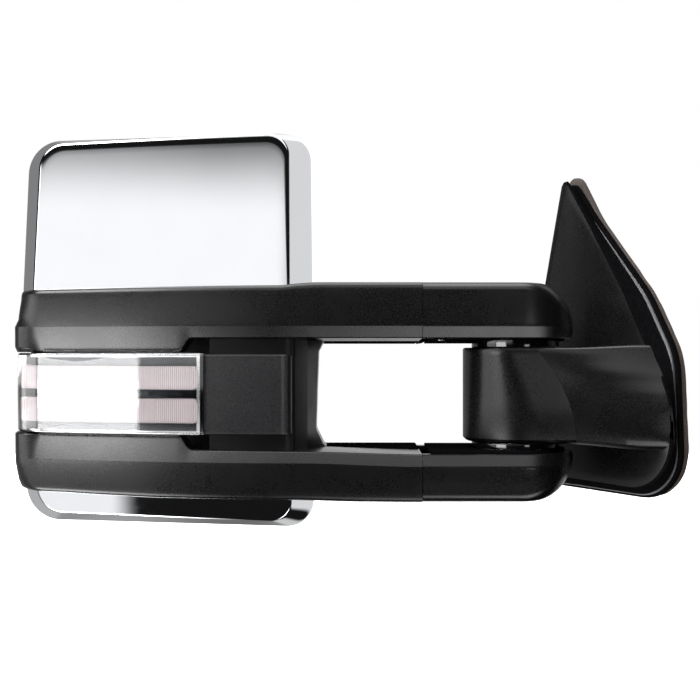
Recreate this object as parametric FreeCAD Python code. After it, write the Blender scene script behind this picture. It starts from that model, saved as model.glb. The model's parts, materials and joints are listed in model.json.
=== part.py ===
import FreeCAD, Part
import math
import os

# A towing door mirror for the right side of a pickup truck, in millimetres.
# +X points inboard to the door, +Y to the rear of the vehicle, +Z up.  Shapes are
# drawn about the folding pivot and moved at export, so that the origin is the centre
# of the three door studs on the door face.

V = FreeCAD.Vector

# ---- driving dimensions -------------------------------------------------------
HEAD_IN = -149.0          # inboard side of the mirror head
HEAD_OUT = -369.0         # outboard side of the mirror head
HEAD_TOP = 191.0
HEAD_BOTTOM = -101.5
HEAD_REAR = 77.0          # rear rim of the glass bezel
SKIN = 2.5                # moulded wall
FACE_INBOARD_Y = -34.0    # front of the chrome caps, inboard edge
FACE_OUTBOARD_Y = -3.0    # front of the chrome caps, outboard edge
CAP_REAR = 58.0           # caps meet the bezel here
CAP_TOP_Z = 78.3          # lower edge of the upper cap
CAP_LOW_Z = -78.0         # upper edge of the lower cap

BAND_FRONT = -42.0        # front face of the band and of the arms
BAND_END = -372.5         # outboard end of the band
SEAM_X = -71.0            # telescoping seam of both arms
SEAM_GAP = 0.6
ARM_HALF = 42.0           # half depth of an arm, and radius of its end

TUBE_Y = 0.0              # arm tubes: centre, half width, half height
TUBE_HALF_W = 15.0
TUBE_HALF_H = 9.5
TUBE_Z = {"upper": 57.5, "lower": -59.5}
TUBE_TIP = -312.0
TUBE_ROOT = -32.0
SLIDE_GAP = 0.3

LAMP_TOP = 26.8
LAMP_LOW = -29.8
LAMP_IN = -225.5          # inboard edge of the lens
LAMP_BACK_Y = 23.5        # rear edge of the lens on the outboard side
PANEL_IN = -162.0         # inboard edge of the square panel

BARREL_R = 38.5
BARREL_TOP = 31.7
BARREL_LOW = -37.0
NECK_TOP = 34.0
NECK_LOW = -40.5
PIVOT_R = 18.0
RUN_GAP = 0.06            # radial running clearance of the pivot
COLLAR_R = 32.0

SAIL_ANGLE = 32.0         # the door face is turned this much about Z
SAIL_FACE = 64.0          # distances from the pivot, square to the door
PLATE_FRONT = 74.0
PLATE_BACK = 80.0
DOOR_FACE = 86.0
STUD_CIRCLE = 90.0
STUD_R = 3.0
STUD_END = 110.0
STUD_CENTRE_U = 8.0       # stud circle centre along the door, forward of the pivot
GROMMET_LIP = 3.0         # lip thickness in front of the plate
GROMMET_END = 94.0        # rear end of the grommet
HARNESS_BORE_R = 6.0

GLASS_X = (-351.0, -167.0)
MAIN_Z = (2.0, 177.0)
SPOT_Z = (-88.0, -18.0)
GLASS_GAP = 5.0           # clearance round each glass
TRAY_BACK = 59.0
PIVOT_BACK = 50.0         # ball centres, ahead of the glass
CENTRE_X = -259.0
MAIN_PIVOT_Z = 89.5
SPOT_PIVOT_Z = -53.0
PLUNGER_OFFSET = 30.0

COS_S = math.cos(math.radians(SAIL_ANGLE))
SIN_S = math.sin(math.radians(SAIL_ANGLE))


# ---- small helpers --------------------------------------------------------------
def box(x0, x1, y0, y1, z0, z1):
    return Part.makeBox(x1 - x0, y1 - y0, z1 - z0, V(x0, y0, z0))


def rod(start, end, radius):
    line = end.sub(start)
    return Part.makeCylinder(radius, line.Length, start, line)


def disc_z(radius, z0, z1, x=0.0, y=0.0):
    return Part.makeCylinder(radius, z1 - z0, V(x, y, z0))


def ring_z(outer, inner, z0, z1):
    return disc_z(outer, z0, z1).cut(disc_z(inner, z0 - 1, z1 + 1))


def disc_y(radius, y0, y1, x, z):
    return Part.makeCylinder(radius, y1 - y0, V(x, y0, z), V(0, 1, 0))


def rounded_wire(corners):
    """Closed wire through (point, radius) corners, each rounded by an arc."""
    edges = []
    count = len(corners)
    starts, ends, middles = [], [], []
    for i in range(count):
        point, radius = corners[i]
        before = corners[i - 1][0].sub(point)
        after = corners[(i + 1) % count][0].sub(point)
        before.normalize()
        after.normalize()
        half = before.getAngle(after) / 2
        if radius <= 0 or half > math.pi / 2 - 1e-4:
            starts.append(point)
            ends.append(point)
            middles.append(None)
            continue
        reach = radius / math.tan(half)
        bisector = before.add(after)
        bisector.normalize()
        middle = point.add(bisector * (radius / math.sin(half) - radius))
        starts.append(point.add(before * reach))
        ends.append(point.add(after * reach))
        middles.append(middle)
    for i in range(count):
        if middles[i] is not None:
            edges.append(Part.Arc(starts[i], middles[i], ends[i]).toShape())
        following = starts[(i + 1) % count]
        if ends[i].sub(following).Length > 1e-6:
            edges.append(Part.LineSegment(ends[i], following).toShape())
    return Part.Wire(edges)


def plan_wire(points, z):
    return rounded_wire([(V(x, y, z), r) for x, y, r in points])


def prism_z(points, z0, z1):
    """Rounded plan outline (x, y, radius) carried from z0 to z1."""
    return Part.Face(plan_wire(points, z0)).extrude(V(0, 0, z1 - z0))


def prism_y(points, y0, y1):
    """Rounded front outline (x, z, radius) carried from y0 to y1."""
    wire = rounded_wire([(V(x, y0, z), r) for x, z, r in points])
    return Part.Face(wire).extrude(V(0, y1 - y0, 0))


def prism_x(points, x0, x1, inset=0.0):
    """Rounded section (y, z, radius) carried from x0 to x1, inset on every side."""
    wire = rounded_wire([(V(x0, y, z), r) for y, z, r in points])
    if inset:
        wire = wire.makeOffset2D(-inset)
    return Part.Face(wire).extrude(V(x1 - x0, 0, 0))


def frame_y(x0, x1, z0, z1, y0, y1, radius):
    return prism_y([(x0, z0, radius), (x1, z0, radius), (x1, z1, radius), (x0, z1, radius)], y0, y1)


def door_point(u, t, z):
    """u runs forward along the door, t from the pivot to the door, z up."""
    return V(t * COS_S + u * SIN_S, t * SIN_S - u * COS_S, z)


def door_slab(wire_points, t0, t1, inset=0.0):
    wire = rounded_wire([(door_point(u, t0, z), r) for u, z, r in wire_points])
    if inset:
        wire = wire.makeOffset2D(-inset)
    return Part.Face(wire).extrude(V(COS_S, SIN_S, 0) * (t1 - t0))


def fuse(shapes):
    body = shapes[0].multiFuse(shapes[1:])
    return body.removeSplitter()


def soften(shape, radius, wanted):
    """Round the edges that wanted(edge) picks."""
    return shape.makeFillet(radius, [e for e in shape.Edges if wanted(e)])


# ---- outlines shared by several pieces ---------------------------------------------
def head_wire(inset, depth_in, depth_out, face):
    """Head outline at a depth that runs from depth_in inboard to depth_out outboard.

    face is 0 for the full outline and 1 for the smaller outline of the front face.
    """
    left = HEAD_OUT + 16 * face + inset
    right = HEAD_IN - 15 * face - inset
    top = HEAD_TOP - 7 * face - inset
    low = HEAD_BOTTOM + 9.5 * face + inset
    slope = (depth_out - depth_in) / (left - right)

    def at(x, z):
        return V(x, depth_in + slope * (x - right), z)

    return rounded_wire([
        (at(right, low), 19 - 5 * face),
        (at(left + 4, low + 3), 27 - 8 * face),
        (at(left, 55), 400),
        (at(left + 6, top - 2), 26 - 8 * face),
        (at(right - 2, top), 20 - 5 * face),
    ])


def head_solid(inset, y_rear):
    """Closed head volume: a front face with bevelled sides that run to y_rear."""
    face = head_wire(inset, FACE_INBOARD_Y + inset, FACE_OUTBOARD_Y + inset, 1)
    shoulder = head_wire(inset, 2, 22, 0)
    rear = head_wire(inset, y_rear, y_rear, 0)
    front_part = Part.makeLoft([face, shoulder], True, True)
    rear_part = Part.makeLoft([shoulder, rear], True, True)
    return fuse([front_part, rear_part])


def band_face(inset):
    """Plan region behind the band's front face, inset on the front and the end."""
    front = BAND_FRONT
    end = BAND_END
    far = 300.0
    bend = V(-344, front + 29, 0)
    edges = [
        Part.LineSegment(V(far, front, 0), V(-150, front, 0)).toShape(),
        Part.Arc(V(-150, front, 0), V(-252, front + 8.5, 0), bend).toShape(),
        Part.Arc(bend, V(end + 8, front + 37.5, 0), V(end, 10, 0)).toShape(),
        Part.LineSegment(V(end, 10, 0), V(end, far, 0)).toShape(),
        Part.LineSegment(V(end, far, 0), V(far, far, 0)).toShape(),
        Part.LineSegment(V(far, far, 0), V(far, front, 0)).toShape(),
    ]
    wire = Part.Wire(edges)
    if inset:
        wire = wire.makeOffset2D(-inset)
    return wire


def band_region(inset, z0, z1):
    wire = band_face(inset)
    wire.translate(V(0, 0, z0))
    return Part.Face(wire).extrude(V(0, 0, z1 - z0))


ARM_SECTION = {
    "upper": [(-42, 47, 2), (-38.5, 38.2, 2), (42, 34.5, 6), (42, 76, 8), (-42, 78, 5)],
    "lower": [(-42, -50, 2), (-38.5, -41.5, 2), (42, -41.5, 6), (42, -76, 8), (-42, -77.5, 5)],
}
SIDES = ("upper", "lower")

SAIL = [(-25, 180, 8), (5, 133, 160), (60, 71, 90), (86, 26, 60), (91, -78.5, 36), (-84, -78.5, 16)]
COVER = [(-24.3, 171, 8)] + SAIL[1:]    # the cover and the plate stop short of the gasket's tip


def neck_outline(inset):
    """Plan of the neck: the barrel and its tangents to the sail."""
    r = BARREL_R - inset
    front_end = door_point(81 - inset, PLATE_FRONT, 0)
    rear_end = door_point(-40 + inset, PLATE_FRONT, 0)
    tangent = V(-0.486 * r, 0.874 * r, 0)
    edges = [
        Part.Arc(V(0, -r, 0), V(-r, 0, 0), tangent).toShape(),
        Part.LineSegment(tangent, rear_end).toShape(),
        Part.LineSegment(rear_end, front_end).toShape(),
        Part.LineSegment(front_end, V(0, -r, 0)).toShape(),
    ]
    return Part.Wire(edges)


def neck_region(inset, z0, z1):
    wire = neck_outline(inset)
    wire.translate(V(0, 0, z0))
    return Part.Face(wire).extrude(V(0, 0, z1 - z0))


def neck_split():
    """Everything outboard of the curved seam between barrel cover and sail cover."""
    return prism_y([(-80, -80, 0), (40, -80, 0), (36, 0, 60), (22, 40, 0), (22, 80, 0),
                    (-80, 80, 0)], -90, 90)


# ---- base: bolted to the door ---------------------------------------------------------
def stud_places():
    for angle in (90, 210, 330):
        a = math.radians(angle)
        yield STUD_CENTRE_U + STUD_CIRCLE / 2 * math.cos(a), STUD_CIRCLE / 2 * math.sin(a)


def mounting_studs():
    studs = []
    for u, z in stud_places():
        shank = rod(door_point(u, PLATE_BACK, z), door_point(u, STUD_END, z), STUD_R)
        spline = rod(door_point(u, PLATE_FRONT, z), door_point(u, PLATE_BACK, z), STUD_R + 0.6)
        head = rod(door_point(u, PLATE_FRONT - 3, z), door_point(u, PLATE_FRONT, z), 6.0)
        studs.append(fuse([shank, spline, head]))
    return Part.makeCompound(studs)


def door_rod(t0, t1, radius):
    """Round bar square to the door through the centre of the stud circle."""
    return rod(door_point(STUD_CENTRE_U, t0, 0), door_point(STUD_CENTRE_U, t1, 0), radius)


def grommet():
    """Rubber sleeve for the harness: a lip in front of the plate and a tail behind it."""
    lip = door_rod(PLATE_FRONT - GROMMET_LIP, PLATE_FRONT, 15)
    waist = door_rod(PLATE_FRONT - GROMMET_LIP, GROMMET_END, 10)
    tail = door_rod(PLATE_BACK, GROMMET_END, 12)
    bore = door_rod(PLATE_FRONT - GROMMET_LIP - 1, GROMMET_END + 1, HARNESS_BORE_R)
    return fuse([lip, waist, tail]).cut(bore)


def base_bracket():
    barrel = ring_z(30, 22, BARREL_LOW + 3, BARREL_TOP - 2)
    core = neck_region(5, NECK_LOW + 8, NECK_TOP - 8)
    pocket = neck_region(11, NECK_LOW + 14, NECK_TOP - 14).cut(disc_z(30, -60, 60))
    plate = door_slab(COVER, PLATE_FRONT, PLATE_BACK, 2)
    core = core.cut(pocket).cut(disc_z(22, -60, 60))
    outside_barrel = core.cut(disc_z(34, -60, 60))
    web = core.common(disc_z(34, -60, 60)).common(box(0, 60, -60, 60, -60, 60))
    body = fuse([barrel, outside_barrel, web, plate])
    hole = door_rod(40, 90, 10)
    seat = door_rod(66, PLATE_FRONT, 16)
    body = body.cut(hole).cut(seat)
    for u, z in stud_places():
        body = body.cut(rod(door_point(u, 60, z), door_point(u, PLATE_FRONT, z), 7.5))
    return body.cut(mounting_studs()).cut(cover_screws())


def door_gasket():
    ring = door_slab(SAIL, PLATE_BACK, DOOR_FACE).cut(door_slab(SAIL, PLATE_BACK - 1, DOOR_FACE + 1, 15))
    return ring


def sail_cover():
    face = rounded_wire([(door_point(u, SAIL_FACE, z), r) for u, z, r in COVER]).makeOffset2D(-8)
    rim = rounded_wire([(door_point(u, PLATE_FRONT, z), r) for u, z, r in COVER]).makeOffset2D(-4)
    dome = Part.makeLoft([face, rim], True, True)
    face_in = rounded_wire([(door_point(u, SAIL_FACE + SKIN, z), r) for u, z, r in COVER]).makeOffset2D(-11)
    rim_in = rounded_wire([(door_point(u, PLATE_FRONT, z), r) for u, z, r in COVER]).makeOffset2D(-7)
    hollow = Part.makeLoft([face_in, rim_in], True, True)
    neck_out = neck_region(0, NECK_LOW, NECK_TOP).cut(neck_split())
    neck_in = neck_region(3, NECK_LOW + 3, NECK_TOP - 3)
    collars = disc_z(COLLAR_R + 0.3, BARREL_TOP, 60).fuse(disc_z(COLLAR_R + 0.3, -60, BARREL_LOW))
    shell = fuse([dome, neck_out.cut(collars)])
    shell = shell.cut(hollow).cut(neck_in).cut(disc_z(28.2, -60, 60))
    return shell.cut(door_slab(SAIL, PLATE_FRONT, PLATE_BACK, 0))


def barrel_cover():
    outer = neck_region(0, BARREL_LOW, BARREL_TOP).common(neck_split())
    inner = neck_region(3, BARREL_LOW + 3, BARREL_TOP - 2)
    return outer.cut(inner).cut(disc_z(28.2, -60, 60)).cut(sail_cover())


def collar(z0, z1):
    return soften(ring_z(COLLAR_R, 28.6, z0, z1), 0.8, lambda e: e.Length > 190)


def pivot_bush(z0, z1, flange0, flange1):
    sleeve = ring_z(22, PIVOT_R + RUN_GAP, z0, z1)
    flange = ring_z(28, PIVOT_R + RUN_GAP, flange0, flange1)
    return fuse([sleeve, flange])


def detent_seat():
    seat = ring_z(28, PIVOT_R + 1, 32.2, 37.6)
    for angle in (0, 120, 240):
        a = math.radians(angle)
        seat = seat.cut(Part.makeSphere(3, V(24 * math.cos(a), 24 * math.sin(a), 39)))
    return seat


def pivot_spring():
    """Square-wire coil spring round the pivot tube, between the two bushes."""
    low = -15.0
    mid_r, half_w, half_h = 20.0, 1.4, 1.3
    coil = Part.Wire(Part.makeHelix(6.5, 26.0, mid_r))
    coil.translate(V(0, 0, low))
    corners = [(-half_w, -half_h), (half_w, -half_h), (half_w, half_h), (-half_w, half_h)]
    points = [V(mid_r + r, 0, low + z) for r, z in corners]
    section = Part.Wire(Part.makePolygon(points + points[:1]))
    return coil.makePipeShell([section], True, True)


def cover_screws():
    screws = []
    for u, z in ((-22, 32), (46, 36), (30, -52)):
        shank = rod(door_point(u, PLATE_BACK - 9, z), door_point(u, PLATE_BACK, z), 2)
        head = rod(door_point(u, PLATE_BACK, z), door_point(u, PLATE_BACK + 2.5, z), 4)
        screws.append(shank.fuse(head).removeSplitter())
    return Part.makeCompound(screws)


# ---- arms: fold about the barrel ----------------------------------------------------
def end_plan(radius, z0, z1):
    """Plan of an arm's end piece: straight sides and a round end about the pivot."""
    round_end = disc_z(radius, z0, z1)
    straight = box(SEAM_X, 0, -radius, radius, z0, z1)
    return round_end.fuse(straight).removeSplitter()


def end_outer(side, inset):
    z_far = {"upper": 78.0, "lower": -77.5}[side]
    x0 = SEAM_X
    block = prism_x(ARM_SECTION[side], x0, 60, inset)
    low, high = (20, 100) if side == "upper" else (-100, -20)
    block = block.common(end_plan(ARM_HALF - inset, low, high))
    start, up = (z_far - 29 - inset, 1) if side == "upper" else (z_far + 29 + inset, -1)
    bevel = Part.makeCone(ARM_HALF + 14 - inset, 18 - inset, 38, V(0, 0, start), V(0, 0, up))
    beyond = box(0, 60, -60, 60, 49, 100) if side == "upper" else box(0, 60, -60, 60, -100, -49)
    return block.cut(beyond.cut(bevel))


def end_cover(side):
    """Outer cover of the arm's inner end, open underneath for its closing plate."""
    shell = end_outer(side, 0).cut(end_outer(side, 3).fuse(
        prism_x(ARM_SECTION[side], SEAM_X - 5, SEAM_X + 8, 3)))
    inner_side = box(-65, 60, -36, 36, 20, 42) if side == "upper" else box(-65, 60, -36, 36, -45, -20)
    return shell.cut(inner_side).cut(disc_z(COLLAR_R + 0.6, -50, 41.9))


def end_plate(side):
    """Closing plate on the face of the arm that looks at the barrel."""
    region = box(-64.8, 60, -35.8, 35.8, 20, 41.5) if side == "upper" else box(-64.8, 60, -35.8, 35.8, -44.6, -20)
    plate = end_outer(side, 0.2).common(region).common(end_plan(36, -100, 100))
    plate = plate.cut(end_outer(side, 3)).cut(end_plate_screws())
    plate = plate.cut(disc_z(COLLAR_R + 0.6, -100, 100))
    return max(plate.Solids, key=lambda solid: solid.Volume)


def knuckle(side):
    """Cast knuckle that clamps the pivot tube and holds the arm tube."""
    zc = TUBE_Z[side]
    hub = disc_z(27, zc - 11, zc + 11)
    socket = box(-66, -10, TUBE_Y - 21, TUBE_Y + 21, zc - 11, zc + 11)
    body = fuse([hub, soften(socket, 4, lambda e: abs(e.Vertexes[0].X - e.Vertexes[-1].X) > 20)])
    body = body.cut(disc_z(PIVOT_R, -100, 100))
    body = body.cut(tube_block(side, TUBE_HALF_W, TUBE_HALF_H, -80, TUBE_ROOT))
    return body.cut(end_plate_screws())


def tube_block(side, half_w, half_h, x0, x1):
    zc = TUBE_Z[side]
    r = min(7, half_h - 0.5)
    return prism_x([(TUBE_Y - half_w, zc - half_h, r), (TUBE_Y + half_w, zc - half_h, r),
                    (TUBE_Y + half_w, zc + half_h, r), (TUBE_Y - half_w, zc + half_h, r)], x0, x1)


def arm_tube(side):
    outer = tube_block(side, TUBE_HALF_W, TUBE_HALF_H, TUBE_TIP, TUBE_ROOT)
    return outer.cut(tube_block(side, TUBE_HALF_W - 2.5, TUBE_HALF_H - 2.5, TUBE_TIP - 1, TUBE_ROOT + 1))


def tube_plugs():
    """Plug in the outboard end of each arm tube."""
    plugs = []
    for side in SIDES:
        plugs.append(tube_block(side, TUBE_HALF_W - 2.5, TUBE_HALF_H - 2.5, TUBE_TIP, TUBE_TIP + 12))
    return Part.makeCompound(plugs)


def pivot_tube():
    tube = ring_z(PIVOT_R, PIVOT_R - 4, -71, 70)
    foot = ring_z(PIVOT_R + 4, PIVOT_R - 4, -72.8, -71)
    return fuse([tube, foot])


def pivot_nut():
    points = []
    for i in range(6):
        a = math.radians(60 * i)
        points.append((24 * math.cos(a), 24 * math.sin(a), 1.5))
    return prism_z(points, 68.7, 72.5).cut(disc_z(PIVOT_R, 0, 100))


def detent_ring():
    return ring_z(28, PIVOT_R, 37.9, 46.5)


def thrust_washer():
    return ring_z(28, PIVOT_R, -48.5, -42.0)


# ---- head: slides on the arm tubes --------------------------------------------------
def chrome_cap(upper):
    shell = head_solid(0, CAP_REAR).cut(head_solid(SKIN, CAP_REAR + 20))
    if upper:
        return shell.common(box(-500, 0, -100, CAP_REAR, CAP_TOP_Z, 300))
    return shell.common(box(-500, 0, -100, CAP_REAR, -300, CAP_LOW_Z))


def band_cutout(upper):
    """Step in the band's inner edge, from the lens to the recess round the panel."""
    if upper:
        return prism_y([(-246, 20, 0), (-246, 28.2, 0), (-236, 38.2, 0), (-60, 38.2, 0), (-60, 20, 0)], -80, 80)
    return prism_y([(-246, -20, 0), (-246, -30.4, 0), (-236, -41.5, 0), (-60, -41.5, 0), (-60, -20, 0)], -80, 80)


def band_shroud(side):
    """Front shroud: a channel along the head, and the front half of the arm."""
    upper = side == "upper"
    z0, z1 = (28.2, 78.0) if upper else (-77.5, -30.4)
    wall = 3.0
    channel = band_region(0, z0, z1).cut(band_region(wall, z0 + wall, z1 - wall))
    channel = channel.cut(band_region(20, z0 - 1, z1 + 1))
    channel = channel.common(box(-400, HEAD_IN - 1, -60, CAP_REAR, -100, 100))
    channel = channel.cut(band_cutout(upper)).cut(box(-366.2, 0, 24.7, 80, -100, 100))
    lip_z = (38.2, 41.2) if upper else (-44.5, -41.5)
    lip = band_region(0, lip_z[0], lip_z[1]).cut(band_region(20, -100, 100))
    lip = lip.common(box(-238, HEAD_IN - 1, -60, CAP_REAR, -100, 100))
    arm = prism_x(ARM_SECTION[side], HEAD_IN - 1, SEAM_X - SEAM_GAP)
    arm = arm.cut(prism_x(ARM_SECTION[side], HEAD_IN - 2, SEAM_X + 1, wall))
    arm = arm.common(box(-400, 0, -60, 0, -100, 100))
    return fuse([channel, lip, arm])


def arm_rear_shroud(side):
    arm = prism_x(ARM_SECTION[side], HEAD_IN - 1, SEAM_X - SEAM_GAP)
    arm = arm.cut(prism_x(ARM_SECTION[side], HEAD_IN - 2, SEAM_X + 1, 3.0))
    return arm.common(box(HEAD_IN - 1, 0, 0, 60, -100, 100))


def centre_bezel():
    """Dark tub that carries the lamp and the square panel, with the inboard wall."""
    plate = band_region(12, LAMP_LOW - 11.5, LAMP_TOP + 11).cut(band_region(15, -100, 100))
    plate = plate.common(box(LAMP_IN + 0.2, -157, -60, 20, -41.3, 38))
    wall = prism_z([(-163, -38, 1), (-159, -39, 1), (-148, -8, 30), (-148, 24, 0), (-151, 24, 0),
                    (-151, -8, 30)], -41.3, 34.2)
    return fuse([plate, wall])


def side_panel():
    block = band_region(4.5, LAMP_LOW, LAMP_TOP).cut(band_region(11.7, -100, 100))
    block = block.common(box(LAMP_IN + 0.4, PANEL_IN - 1.5, -60, 20, -100, 100))
    block = block.cut(centre_bezel())
    return soften(block, 3, lambda e: e.BoundBox.ZLength > 50 and e.BoundBox.Center.x > -170
                  and e.BoundBox.Center.y < -35)


def lamp_region(a, b, z0, z1, x1):
    block = band_region(a, z0, z1).cut(band_region(b, -100, 100))
    return block.common(box(-400, x1, -60, LAMP_BACK_Y, -100, 100))


def lamp_lens():
    skin = lamp_region(2.0, 4.4, LAMP_LOW, LAMP_TOP, LAMP_IN)
    edge = lamp_region(2.0, 12.0, LAMP_LOW, LAMP_TOP, LAMP_IN).common(
        box(LAMP_IN - 3, LAMP_IN, -60, 60, -100, 100))
    return fuse([skin, edge])


def lamp_housing():
    tub = lamp_region(5, 25, LAMP_LOW, LAMP_TOP, LAMP_IN - 3.2)
    hollow = lamp_region(4, 22.5, LAMP_LOW + 2, LAMP_TOP - 2, LAMP_IN - 5.5)
    return tub.cut(hollow)


def light_guide(z0, z1):
    return lamp_region(9, 15, z0, z1, LAMP_IN - 6).common(box(-352, -200, -60, 8, -100, 100))


def lamp_reflector():
    """Bright divider strips between and around the two light guides."""
    strips = []
    for z0, z1 in ((-27.4, -23.4), (-3.6, 0.6), (20.0, 24.4)):
        strips.append(lamp_region(7.5, 20, z0, z1, LAMP_IN - 6).common(box(-352, -200, -60, 8, -100, 100)))
    back = lamp_region(18, 20, -23.4, -3.6, LAMP_IN - 6).common(box(-352, -200, -60, 8, -100, 100))
    back_2 = lamp_region(18, 20, 0.6, 20.0, LAMP_IN - 6).common(box(-352, -200, -60, 8, -100, 100))
    return fuse(strips + [back, back_2])


def lamp_board():
    return lamp_region(20.3, 21.9, -24, 22, -240).common(box(-330, -200, -60, 30, -30, 30))


def head_frame():
    """Cast frame: a back plate, and a guide channel for each arm tube."""
    plate = frame_y(-340, -166, -84, 168, 21, 25, 14)
    plate = plate.cut(disc_y(30, 20, 26, CENTRE_X, MAIN_PIVOT_Z))
    pieces = [plate]
    for side in SIDES:
        outer = tube_block(side, TUBE_HALF_W + 6, TUBE_HALF_H + 4.5, -222, -154)
        pieces.append(outer)
    body = fuse(pieces)
    for side in SIDES:
        body = body.cut(tube_block(side, TUBE_HALF_W + 2.5, TUBE_HALF_H + 2.3, -223, -153))
    return body.cut(housing_screws())


def guide_bushes():
    """Two plastic bushes in each guide channel, in which an arm tube slides."""
    rings = []
    for side in SIDES:
        for x0 in (-216, -174):
            outer = tube_block(side, TUBE_HALF_W + 2.5, TUBE_HALF_H + 2.3, x0, x0 + 20)
            bore = tube_block(side, TUBE_HALF_W + SLIDE_GAP, TUBE_HALF_H + SLIDE_GAP, x0 - 1, x0 + 21)
            rings.append(outer.cut(bore))
    return Part.makeCompound(rings)


def rear_housing():
    """Black tray behind the caps and the frame, open in the middle for the glass drive."""
    skin = SKIN + 0.3
    outer = Part.makeLoft([head_wire(skin, 25, 25, 0), head_wire(skin, CAP_REAR, CAP_REAR, 0)], True, True)
    inner = Part.makeLoft([head_wire(SKIN + 3, 27.5, 27.5, 0), head_wire(SKIN + 3, 80, 80, 0)], True, True)
    tray = outer.cut(inner)
    tray = tray.cut(disc_y(46.5, 20, 30, CENTRE_X, MAIN_PIVOT_Z))
    tray = tray.cut(disc_y(16.5, 20, 30, CENTRE_X, SPOT_PIVOT_Z))
    for side in SIDES:
        tray = tray.cut(prism_x(ARM_SECTION[side], -200, -100, -0.4))
    for z0, z1 in ((-78.2, -30.2), (28.0, CAP_TOP_Z)):
        tray = tray.cut(box(-400, -366.2, -60, CAP_REAR + 1, z0, z1))
    pad = box(BAND_END + 1.5, -364, 25, CAP_REAR, LAMP_LOW, LAMP_TOP)
    return fuse([tray, pad]).cut(housing_screws())


def glass_bezel():
    rear = head_wire(1.5, HEAD_REAR, HEAD_REAR, 0)
    front = head_wire(0, CAP_REAR, CAP_REAR, 0)
    ring = Part.makeLoft([front, rear], True, True)
    x0, x1 = GLASS_X[0] - GLASS_GAP, GLASS_X[1] + GLASS_GAP
    for z0, z1 in (MAIN_Z, SPOT_Z):
        low = z0 - GLASS_GAP
        high = z1 + GLASS_GAP
        ring = ring.cut(frame_y(x0, x1, low, high, 40, 90, 16))
    return ring


# ---- glass, actuator and spotter ---------------------------------------------------------
def actuator_case():
    cup = disc_y(46, 25, 41, CENTRE_X, MAIN_PIVOT_Z)
    return cup.cut(disc_y(43.5, 27.5, 42, CENTRE_X, MAIN_PIVOT_Z))


def plunger_places():
    return {"tilt": (CENTRE_X, MAIN_PIVOT_Z + PLUNGER_OFFSET),
            "pan": (CENTRE_X + PLUNGER_OFFSET, MAIN_PIVOT_Z)}


def actuator_cover():
    lid = disc_y(46, 41, 43, CENTRE_X, MAIN_PIVOT_Z)
    post = disc_y(4, 43, PIVOT_BACK - 4, CENTRE_X, MAIN_PIVOT_Z)
    ball = Part.makeSphere(6, V(CENTRE_X, PIVOT_BACK, MAIN_PIVOT_Z))
    body = fuse([lid, post, ball])
    for x, z in plunger_places().values():
        body = body.cut(disc_y(3.8, 38, 50, x, z))
    return body.cut(actuator_screws())


def spotter_post():
    foot = disc_y(16, 25, 29, CENTRE_X, SPOT_PIVOT_Z)
    post = disc_y(4, 29, PIVOT_BACK - 4, CENTRE_X, SPOT_PIVOT_Z)
    ball = Part.makeSphere(6, V(CENTRE_X, PIVOT_BACK, SPOT_PIVOT_Z))
    return fuse([foot, post, ball])


def plunger(which):
    x, z = plunger_places()[which]
    shaft = disc_y(3.5, 32, 54.8, x, z)
    tip = Part.makeSphere(3.5, V(x, 54.8, z))
    return fuse([shaft, tip])


def drive_motors():
    """One small motor beside each plunger."""
    tilt_x, tilt_z = plunger_places()["tilt"]
    pan_x, pan_z = plunger_places()["pan"]
    y = 34
    motors = []
    for x, z, step in ((tilt_x - 26, tilt_z - 12, V(1, 0, 0)), (pan_x - 12, pan_z - 26, V(0, 0, 1))):
        start = V(x, y, z)
        can = rod(start, start + step * 18, 6)
        shaft = rod(start + step * 18, start + step * 32, 1.5)
        motors.append(can.fuse(shaft).removeSplitter())
    return Part.makeCompound(motors)


def gimbal(z):
    ring = Part.makeSphere(10, V(CENTRE_X, PIVOT_BACK, z))
    ring = ring.common(box(CENTRE_X - 20, CENTRE_X + 20, PIVOT_BACK - 3, PIVOT_BACK + 3.5, z - 20, z + 20))
    return ring.cut(Part.makeSphere(6.3, V(CENTRE_X, PIVOT_BACK, z)))


def glass_tray(z0, z1, pivot_z):
    x0, x1 = GLASS_X
    tray = frame_y(x0, x1, z0, z1, TRAY_BACK, TRAY_BACK + 5.6, 12)
    tray = tray.cut(frame_y(x0 + 1.8, x1 - 1.8, z0 + 1.8, z1 - 1.8, TRAY_BACK + 3, TRAY_BACK + 9, 10.2))
    socket = disc_y(14, PIVOT_BACK - 2, TRAY_BACK, CENTRE_X, pivot_z)
    tray = fuse([tray, socket])
    return tray.cut(disc_y(10.5, 30, TRAY_BACK, CENTRE_X, pivot_z))


def heater_pad():
    x0, x1 = GLASS_X
    y0 = TRAY_BACK + 3
    return frame_y(x0 + 6, x1 - 6, MAIN_Z[0] + 6, MAIN_Z[1] - 6, y0, y0 + 0.4, 8)


def main_glass():
    x0, x1 = GLASS_X
    y0 = TRAY_BACK + 3.4
    return frame_y(x0 + 1.9, x1 - 1.9, MAIN_Z[0] + 1.9, MAIN_Z[1] - 1.9, y0, y0 + 2.2, 10)


def spotter_glass():
    """Convex glass, domed towards the driver."""
    x0, x1 = GLASS_X
    y0 = TRAY_BACK + 3.05
    radius = 900.0
    blank = frame_y(x0 + 1.9, x1 - 1.9, SPOT_Z[0] + 1.9, SPOT_Z[1] - 1.9, y0, y0 + 9, 10)
    top = y0 + 6.9
    centre_z = (SPOT_Z[0] + SPOT_Z[1]) / 2
    ball = Part.makeSphere(radius, V(CENTRE_X, top - radius, centre_z))
    return blank.common(ball)


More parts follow.
